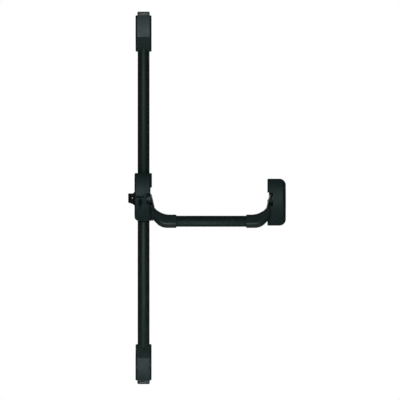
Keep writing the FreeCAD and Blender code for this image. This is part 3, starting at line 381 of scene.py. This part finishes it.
@dataclass(frozen=True)
class FinishBook:
    """Every finish of the device."""

    cover_coat: Finish = Finish(
        "cover_coat",
        (0.0042, 0.0090, 0.0088), (0.0052, 0.0104, 0.0102), (0.014, 0.021, 0.021), (0.48, 0.56),
        specular=0.145, sheen=(0.72, 1.0, 1.0), ripples=850.0, ripple_height=0.00003)
    # Cover coat with painted shade in the lower cover's thumb scoop.
    scooped_coat: Finish = replace(cover_coat, name="scooped_coat", film=PaintedHollowShade())
    box_coat: Finish = Finish(
        "box_coat",
        (0.0062, 0.0112, 0.0110), (0.0074, 0.0128, 0.0126), (0.016, 0.023, 0.023), (0.42, 0.50),
        specular=0.175, sheen=(0.78, 1.0, 0.98), ripples=850.0, ripple_height=0.00003)
    arm_coat: Finish = Finish(
        "arm_coat",
        (0.0056, 0.0100, 0.0100), (0.0068, 0.0116, 0.0116), (0.016, 0.022, 0.022), (0.42, 0.52),
        specular=0.25, sheen=(0.80, 1.0, 1.0), ripples=420.0, ripple_height=0.00006)
    tube_coat: Finish = Finish(
        "tube_coat",
        (0.0046, 0.0090, 0.0086), (0.0056, 0.0104, 0.0100), (0.014, 0.021, 0.020), (0.48, 0.56),
        specular=0.13, sheen=(0.70, 1.0, 0.98), lines=Direction.ALONG_X, line_height=0.00002)
    rod_cover_coat: Finish = Finish(
        "rod_cover_coat",
        (0.0044, 0.0092, 0.0082), (0.0054, 0.0106, 0.0096), (0.014, 0.021, 0.019), (0.46, 0.54),
        specular=0.16, sheen=(0.80, 1.0, 0.95), lines=Direction.ALONG_Z, line_height=0.00002)
    plate_coat: Finish = Finish(
        "plate_coat",
        (0.016, 0.018, 0.019), (0.024, 0.026, 0.027), (0.06, 0.063, 0.065), (0.50, 0.62),
        specular=0.3, ripples=1300.0, ripple_height=0.00003)
    dark_bolt_steel: Finish = Finish(
        "dark_bolt_steel",
        (0.036, 0.041, 0.043), (0.048, 0.053, 0.055), (0.16, 0.17, 0.17), (0.52, 0.62),
        metallic=1.0, ripple_height=0.00001, lines=Direction.ALONG_Z, line_height=0.00003)
    ground_steel: Finish = Finish(
        "ground_steel",
        (0.13, 0.135, 0.14), (0.16, 0.165, 0.17), (0.24, 0.25, 0.25), (0.34, 0.44),
        metallic=1.0, ripple_height=0.00001, lines=Direction.ALONG_Z, line_height=0.00002)
    black_oxide: Finish = Finish(
        "black_oxide",
        (0.0016, 0.0018, 0.0020), (0.0026, 0.0029, 0.0032), (0.012, 0.013, 0.014), (0.50, 0.60),
        specular=0.05, ripples=1200.0, ripple_height=0.00002)
    bright_pin: Finish = Finish(
        "bright_pin",
        (0.085, 0.088, 0.092), (0.11, 0.113, 0.118), (0.4, 0.4, 0.4), (0.30, 0.38),
        metallic=1.0, ripple_height=0.00001)
    zinc_plate: Finish = Finish(
        "zinc_plate",
        (0.24, 0.25, 0.26), (0.30, 0.31, 0.31), (0.22, 0.22, 0.22), (0.34, 0.46),
        metallic=1.0, ripples=1500.0, ripple_height=0.00001)
    spring_steel: Finish = Finish(
        "spring_steel",
        (0.11, 0.11, 0.12), (0.15, 0.15, 0.155), (0.3, 0.3, 0.3), (0.28, 0.38),
        metallic=1.0, ripples=1800.0, ripple_height=0.00001)
    guide_plastic: Finish = Finish(
        "guide_plastic",
        (0.020, 0.021, 0.022), (0.026, 0.027, 0.028), (0.04, 0.04, 0.042), (0.46, 0.56),
        ripples=600.0, ripple_height=0.00003)
    bush_bronze: Finish = Finish(
        "bush_bronze",
        (0.075, 0.054, 0.034), (0.10, 0.072, 0.045), (0.14, 0.11, 0.07), (0.44, 0.54),
        metallic=1.0, ripples=2200.0, ripple_height=0.00003)


def only(piece: Piece) -> None:
    """Select one object alone and make it active."""
    bpy.ops.object.select_all(action="DESELECT")
    piece.select_set(True)
    bpy.context.view_layer.objects.active = piece


def body_of_node(node: str) -> str:
    """Name of the body that a node of the part belongs to."""
    bodies = frame["record"]["behaviour"]["bodies"]
    return next(body for body, nodes in bodies.items() if node in nodes)


def wear_finish(piece: Piece, material: Material) -> None:
    """Give a piece one material over its whole surface."""
    if not piece.material_slots:
        piece.data.materials.append(material)
    for material_slot in piece.material_slots:
        material_slot.material = material


def stand_for(piece: Piece, node: str, material: Material) -> None:
    """Let a new piece replace one node, on the node's body.

    Args:
        piece: The new piece, in place.
        node: The node that it stands for.
        material: The piece's material.
    """
    wear_finish(piece, material)
    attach(piece, body_of_node(node))
    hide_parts(node)
    log.info("%s stands for %s", piece.name, node)


def keep_node(node: str, material: Material) -> None:
    """Show a node of the part as it is, with a finish."""
    wear_finish(frame["nodes"][node], material)
    log.info("%s keeps its shape", node)


@dataclass
class SoftEdges:
    """How a machined or moulded edge is broken on a copy of a node."""

    width: float
    segments: int = 2
    least_angle: float = math.radians(32)
    smooth_angle: float = math.radians(28)
    merge_distance: float = 0.000002
    flat_angle: float = math.radians(0.2)

    def copy_of(self, node: str, name: str) -> Piece:
        """Copy a node's mesh, clean it and break its edges.

        Args:
            node: Node of the part.
            name: Name of the new piece.

        Returns:
            The new piece, in place.
        """
        piece = bpy.data.objects.new(name, frame["nodes"][node].data.copy())
        bpy.context.scene.collection.objects.link(piece)
        only(piece)
        bpy.ops.mesh.customdata_custom_splitnormals_clear()
        bpy.ops.object.mode_set(mode="EDIT")
        bpy.ops.mesh.select_all(action="SELECT")
        bpy.ops.mesh.remove_doubles(threshold=self.merge_distance)
        bpy.ops.mesh.dissolve_limited(angle_limit=self.flat_angle)
        bpy.ops.object.mode_set(mode="OBJECT")
        bevel = piece.modifiers.new("edge", "BEVEL")
        bevel.width = self.width
        bevel.segments = self.segments
        bevel.limit_method = "ANGLE"
        bevel.angle_limit = self.least_angle
        bevel.use_clamp_overlap = True
        bpy.ops.object.modifier_apply(modifier="edge")
        bpy.ops.object.shade_smooth_by_angle(angle=self.smooth_angle)
        return piece


def cut_away(piece: Piece, cutter: Piece) -> None:
    """Take one object's shape out of a piece, and delete that object."""
    only(piece)
    cut = piece.modifiers.new("cut", "BOOLEAN")
    cut.operation = "DIFFERENCE"
    cut.object = cutter
    bpy.ops.object.modifier_apply(modifier="cut")
    bpy.data.objects.remove(cutter)


@dataclass
class Covers:
    """Sheet and cast covers of the two cases, the rods and the latch boxes."""

    cast_edge: SoftEdges = field(default_factory=lambda: SoftEdges(width=0.0006))
    drawn_edge: SoftEdges = field(default_factory=lambda: SoftEdges(width=0.0003))
    cast: tuple[tuple[str, str], ...] = (
        ("active_cover_upper", "cover_coat"), ("active_cover_lower", "scooped_coat"),
        ("passive_cover", "cover_coat"), ("top_latch_cover", "box_coat"),
        ("bottom_latch_cover", "box_coat"))
    drawn: tuple[str, ...] = ("upper_rod_cover", "lower_rod_cover")

    def build(self, made: dict[str, Material]) -> None:
        """Make every cover.

        Args:
            made: Materials by finish name.
        """
        for node, coat in self.cast:
            stand_for(self.cast_edge.copy_of(node, "soft_" + node), node, made[coat])
        for node in self.drawn:
            piece = self.drawn_edge.copy_of(node, "soft_" + node)
            stand_for(piece, node, made["rod_cover_coat"])


@dataclass(frozen=True)
class ScrewEnd:
    """Middle of a screw's outer end, and the way that the end faces."""

    place: Vector
    out: Vector

    def sink(self, piece: Piece, radius: float, sides: int, inward: float, outward: float) -> None:
        """Cut a straight hole into a piece, in line with the screw.

        Args:
            piece: Piece that is cut.
            radius: Distance from the hole's axis to its corners.
            sides: Number of the hole's sides.
            inward: How far the hole goes in from the screw's end.
            outward: How far the cut reaches out from the screw's end.
        """
        bpy.ops.object.select_all(action="DESELECT")
        bpy.ops.mesh.primitive_cylinder_add(
            vertices=sides, radius=radius, depth=inward + outward,
            location=self.place + self.out * (outward - inward) / 2,
            rotation=self.out.to_track_quat("Z", "X").to_euler())
        cut_away(piece, bpy.context.object)


def screw_pair(columns: tuple[float, float], spot: tuple[float, float],
               out: tuple[float, float]) -> tuple[ScrewEnd, ...]:
    """Outer ends of two screws that differ only in their X.

    Args:
        columns: X of each screw.
        spot: Y and Z of both ends.
        out: Y and Z of the way that both ends face.

    Returns:
        Outer end of each screw.
    """
    return tuple(ScrewEnd(Vector((x, *spot)), Vector((0.0, *out))) for x in columns)


ARM_SCREW_ENDS = screw_pair((0.0195, 0.4875), (-0.03221, 0.01629), (0.515, 0.857))
TUBE_SCREW_ENDS = screw_pair((0.1094, 0.3976), (-0.07943, -0.09044), (0.857, -0.515))


@dataclass
class PushBar:
    """Cast arms, open over their tube screws, and the oval tube between them."""

    cast_edge: SoftEdges = field(default_factory=lambda: SoftEdges(width=0.0007))
    tube_edge: SoftEdges = field(default_factory=lambda: SoftEdges(width=0.0003))
    mouth_radius: float = 0.0027
    mouth_sides: int = 32
    mouth_depth: float = 0.0001
    mouth_reach: float = 0.0020

    def build(self, arm: Material, tube: Material) -> None:
        """Make the arms and the tube.

        Args:
            arm: Finish of the castings.
            tube: Finish of the tube.
        """
        for node, screw in zip(("active_arm", "passive_arm"), TUBE_SCREW_ENDS):
            piece = self.cast_edge.copy_of(node, "cast_" + node)
            screw.sink(piece, self.mouth_radius, self.mouth_sides, self.mouth_depth,
                       self.mouth_reach)
            stand_for(piece, node, arm)
        stand_for(self.tube_edge.copy_of("push_tube", "oval_push_tube"), "push_tube", tube)


@dataclass
class Bolts:
    """The two rod bolts, and the side latch with its collar and pin."""

    ground_edge: SoftEdges = field(default_factory=lambda: SoftEdges(width=0.0008))
    latch_edge: SoftEdges = field(default_factory=lambda: SoftEdges(width=0.0006))

    def build(self, steel: Material, oxide: Material, pin: Material) -> None:
        """Make the bolts and the latch.

        Args:
            steel: Finish of the rod bolts.
            oxide: Finish of the side latch.
            pin: Finish of the latch's pin.
        """
        for node in ("top_bolt", "bottom_bolt"):
            stand_for(self.ground_edge.copy_of(node, "ground_" + node), node, steel)
        for node in ("side_latch_head", "side_latch_collar"):
            stand_for(self.latch_edge.copy_of(node, "eased_" + node), node, oxide)
        stand_for(self.latch_edge.copy_of("latch_pin", "domed_latch_pin"), "latch_pin", pin)


@dataclass
class ReturnSpring:
    """Torsion spring round a shaft, wound from round wire."""

    node: str
    wire: float = 0.0022
    turn_gap: float = 0.0001
    steps: int = 28
    wire_sides: int = 10
    merge_distance: float = 0.00001
    smooth_angle: float = math.radians(50)

    def build(self, material: Material) -> None:
        """Wind the spring in the place of its node.

        Args:
            material: Finish of the wire.
        """
        low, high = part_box(self.node)
        centre = (low + high) / 2
        coil_radius = (high.y - low.y) / 2 - self.wire / 2
        pitch = self.wire + self.turn_gap
        turns = int((high.x - low.x - self.wire) / pitch)
        start = Vector((centre.x - turns * pitch / 2, centre.y, centre.z + coil_radius))
        bpy.ops.object.select_all(action="DESELECT")
        bpy.ops.mesh.primitive_circle_add(vertices=self.wire_sides, radius=self.wire / 2,
                                          location=start, rotation=(math.pi / 2, 0, 0))
        piece = bpy.context.object
        piece.name = "wound_" + self.node
        bpy.ops.object.transform_apply(location=True, rotation=True, scale=True)
        self.wind(piece, Vector((0, centre.y, centre.z)), turns, pitch)
        stand_for(piece, self.node, material)

    def wind(self, piece: Piece, axis_point: Vector, turns: int, pitch: float) -> None:
        """Turn the wire's section into a coil and close its two ends.

        Args:
            piece: The section, in place.
            axis_point: Point on the coil's axis, which runs along X.
            turns: Whole turns of the coil.
            pitch: Advance of each turn.
        """
        pivot = bpy.data.objects.new("winding_axis", None)
        pivot.location = axis_point
        bpy.context.scene.collection.objects.link(pivot)
        bpy.context.view_layer.update()
        only(piece)
        screw = piece.modifiers.new("wind", "SCREW")
        screw.object = pivot
        screw.axis = "X"
        screw.angle = math.tau
        screw.screw_offset = pitch
        screw.iterations = turns
        screw.steps = self.steps
        screw.render_steps = self.steps
        bpy.ops.object.modifier_apply(modifier="wind")
        bpy.data.objects.remove(pivot)
        bpy.ops.object.mode_set(mode="EDIT")
        bpy.ops.mesh.select_all(action="SELECT")
        bpy.ops.mesh.remove_doubles(threshold=self.merge_distance)
        bpy.ops.mesh.select_all(action="DESELECT")
        bpy.ops.mesh.select_non_manifold()
        bpy.ops.mesh.edge_face_add()
        bpy.ops.mesh.select_all(action="SELECT")
        bpy.ops.mesh.normals_make_consistent(inside=False)
        bpy.ops.object.mode_set(mode="OBJECT")
        bpy.ops.object.shade_smooth_by_angle(angle=self.smooth_angle)


@dataclass
class SocketScrews:
    """Fixing screws with a hexagon socket in each outer end."""

    edge: SoftEdges = field(default_factory=lambda: SoftEdges(width=0.0002))
    head_radius: float = 0.0036
    head_key: float = 0.0020
    head_depth: float = 0.0014
    grub_key: float = 0.0014
    grub_depth: float = 0.0012
    key_sides: int = 6
    corners: tuple[tuple[int, int], ...] = ((-1, -1), (-1, 1), (1, -1), (1, 1))
    passive_corners: tuple[tuple[int, int], ...] = ((-1, 1), (1, -1), (1, 1))

    def build(self, material: Material) -> None:
        """Make the screws of the covers, the boxes, the arms and the tube.

        Args:
            material: Finish of the screws.
        """
        for node, corners in (("active_cover_screws", self.corners),
                              ("top_latch_screws", self.corners),
                              ("bottom_latch_screws", self.corners),
                              ("passive_cover_screws", self.passive_corners)):
            ends = self.head_ends(node, corners)
            self.make(node, ends, self.head_key, self.head_depth, material)
        for node, ends in (("arm_set_screws", ARM_SCREW_ENDS), ("tube_screws", TUBE_SCREW_ENDS)):
            self.make(node, ends, self.grub_key, self.grub_depth, material)

    def head_ends(self, node: str, corners: tuple[tuple[int, int], ...]) -> tuple[ScrewEnd, ...]:
        """Outer ends of the screws that stand in the corners of a cover.

        Args:
            node: Node of the screws.
            corners: Side and end of each screw, as signs.

        Returns:
            Outer end of each screw.
        """
        low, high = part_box(node)
        middle = (low.y + high.y) / 2
        ends = []
        for side, end in corners:
            across = high.x if side > 0 else low.x
            up = high.z - self.head_radius if end > 0 else low.z + self.head_radius
            ends.append(ScrewEnd(Vector((across, middle, up)), Vector((side, 0.0, 0.0))))
        return tuple(ends)

    def make(self, node: str, ends: tuple[ScrewEnd, ...], key: float, depth: float,
             material: Material) -> None:
        """Copy the screws of a node and sink a socket into each outer end.

        Args:
            node: Node of the screws.
            ends: Outer end of each screw.
            key: Distance from the socket's axis to its corners.
            depth: Depth of the socket.
            material: Finish of the screws.
        """
        piece = self.edge.copy_of(node, "socketed_" + node)
        for end in ends:
            end.sink(piece, key, self.key_sides, depth, depth)
        stand_for(piece, node, material)


@dataclass
class InnerWorks:
    """Plates, sliders, toothed pieces, shafts and rods, shown in their own shape."""

    coated: tuple[str, ...] = (
        "active_base_plate", "passive_base_plate", "top_latch_base", "bottom_latch_base")
    zinc: tuple[str, ...] = (
        "keeper_plate", "keeper_spacers", "lower_slider", "upper_slider", "side_latch_bar",
        "upper_rod", "lower_rod", "upper_rod_nuts", "lower_rod_nuts", "shaft_circlips")
    plain: tuple[str, ...] = (
        "drive_shaft", "passive_shaft", "drive_sector", "twin_pinion", "pinion_pin",
        "keeper_screws")
    bronze: tuple[str, ...] = ("active_shaft_bushes", "passive_shaft_bushes")
    plastic: tuple[str, ...] = ("upper_rod_guides", "lower_rod_guides")

    def build(self, made: dict[str, Material]) -> None:
        """Give every inner piece its finish.

        Args:
            made: Materials by finish name.
        """
        groups = ((self.coated, "plate_coat"), (self.zinc, "zinc_plate"),
                  (self.plain, "ground_steel"), (self.bronze, "bush_bronze"),
                  (self.plastic, "guide_plastic"))
        for nodes, name in groups:
            for node in nodes:
                keep_node(node, made[name])


@dataclass(frozen=True)
class Lamp:
    """Square lamp: its name, place, side, power in watts, spread and the point that it faces."""

    name: str
    place: tuple[float, float, float]
    size: float
    power: float
    spread: float = math.pi
    target: tuple[float, float, float] | None = None

    def build(self, middle: Vector) -> None:
        """Hang the lamp, unseen by the camera.

        Args:
            middle: Point that a lamp without a target faces.
        """
        data = bpy.data.lights.new(self.name, "AREA")
        data.shape = "SQUARE"
        data.size = self.size
        data.energy = self.power
        data.spread = self.spread
        lamp = bpy.data.objects.new(self.name, data)
        lamp.location = self.place
        facing = Vector(self.target) if self.target else middle
        aim = facing - Vector(self.place)
        lamp.rotation_euler = aim.to_track_quat("-Z", "Y").to_euler()
        lamp.visible_camera = False
        bpy.context.scene.collection.objects.link(lamp)


@dataclass
class Studio:
    """Camera, lamps, white surround and pale floor."""

    view_centre: Vector = field(default_factory=lambda: Vector((0.2115, 0.0, -0.00375)))
    view_width: float = 1.5
    camera_distance: float = 16.0
    camera_reach: float = 50.0
    sensor: float = 36.0
    lamps: tuple[Lamp, ...] = (
        Lamp("front_lamp", (-0.1, -4.6, 1.1), 1.5, 160.0),
        Lamp("low_lamp", (0.0, -4.0, -1.55), 1.4, 20.0),
        Lamp("box_lamp", (0.0, -4.0, -0.85), 0.8, 0.62, math.radians(12), (0.0, 0.0, -0.62)),
        Lamp("left_back_lamp", (-1.9885, 4.2, 2.6), 1.6, 100.0),
        Lamp("right_back_lamp", (2.4115, 4.2, 2.6), 1.6, 100.0))
    dim: Colour = (0.07, 0.075, 0.075)
    white: Colour = (1.0, 1.0, 1.0)
    mirror_start: float = 0.95
    mirror_full: float = 0.985
    floor_size: float = 3.0
    floor_cells: int = 4
    floor_depth: float = -0.9
    floor_height: float = -1.0
    floor_colour: Colour = (0.9, 0.9, 0.9)
    floor_roughness: float = 0.9
    floor_glow: float = 0.55

    def build(self) -> None:
        """Set up everything round the device."""
        self.build_camera()
        for lamp in self.lamps:
            lamp.build(self.view_centre)
        self.build_world()
        self.build_floor()
        bpy.context.scene.view_settings.view_transform = "Standard"

    def build_camera(self) -> None:
        """Camera straight in front, so far off that the view is almost flat."""
        data = bpy.data.cameras.new("camera")
        data.sensor_width = self.sensor
        data.lens = self.sensor * self.camera_distance / self.view_width
        data.clip_end = self.camera_reach
        camera = bpy.data.objects.new("camera", data)
        camera.location = self.view_centre + Vector((0, -self.camera_distance, 0))
        camera.rotation_euler = (math.pi / 2, 0, 0)
        bpy.context.scene.collection.objects.link(camera)
        bpy.context.scene.camera = camera

    def build_world(self) -> None:
        """White to the camera and in mirrored rays from behind, dim all round for the gloss."""
        world = bpy.data.worlds.new("surround")
        world.use_nodes = True
        bpy.context.scene.world = world
        sheet = NodeSheet(world.node_tree)
        path = sheet.add("ShaderNodeLightPath").outputs
        split = sheet.add("ShaderNodeSeparateXYZ")
        sheet.join(sheet.add("ShaderNodeTexCoord").outputs["Generated"], split.inputs["Vector"])
        behind = sheet.mapped(split.outputs["Y"], From_Min=self.mirror_start,
                              From_Max=self.mirror_full)
        shiny = sheet.maths("MAXIMUM", path["Is Glossy Ray"], path["Is Transmission Ray"])
        mirrored = sheet.maths("MULTIPLY", shiny, behind)
        seen = sheet.maths("MAXIMUM", path["Is Camera Ray"], mirrored)
        background = world.node_tree.nodes["Background"]
        sheet.join(sheet.blend_colour(seen, self.dim, self.white), background.inputs["Color"])
        background.inputs["Strength"].default_value = 1.0

    def build_floor(self) -> None:
        """Pale floor below the device."""
        bpy.ops.object.select_all(action="DESELECT")
        bpy.ops.mesh.primitive_grid_add(
            x_subdivisions=self.floor_cells, y_subdivisions=self.floor_cells, size=self.floor_size,
            location=(self.view_centre.x, self.floor_depth, self.floor_height))
        floor = bpy.context.object
        floor.name = "floor"
        bpy.ops.object.transform_apply(location=True, rotation=True, scale=True)
        material = bpy.data.materials.new("pale_floor")
        material.use_nodes = True
        sheet = NodeSheet(material.node_tree)
        shader = material.node_tree.nodes["Principled BSDF"]
        shader.inputs["Base Color"].default_value = (*self.floor_colour, 1.0)
        shader.inputs["Roughness"].default_value = self.floor_roughness
        shader.inputs["Emission Color"].default_value = (*self.white, 1.0)
        seen = sheet.add("ShaderNodeLightPath").outputs["Is Camera Ray"]
        sheet.join(sheet.mapped(seen, To_Min=0.0, To_Max=self.floor_glow),
                   shader.inputs["Emission Strength"])
        floor.data.materials.append(material)


def make_finishes() -> dict[str, Material]:
    """Build every finish.

    Returns:
        Materials by finish name.
    """
    effects = SurfaceEffects()
    book = FinishBook()
    return {item.name: getattr(book, item.name).build(effects) for item in fields(book)}


def main() -> None:
    """Build the finishes, the pieces and the studio in order."""
    logging.basicConfig(level=logging.INFO, format="%(message)s")
    made = make_finishes()
    Covers().build(made)
    PushBar().build(made["arm_coat"], made["tube_coat"])
    Bolts().build(made["dark_bolt_steel"], made["black_oxide"], made["bright_pin"])
    SocketScrews().build(made["plate_coat"])
    for node in ("active_return_spring", "passive_return_spring"):
        ReturnSpring(node).build(made["spring_steel"])
    InnerWorks().build(made)
    Studio().build()


if __name__ == "__main__":
    main()
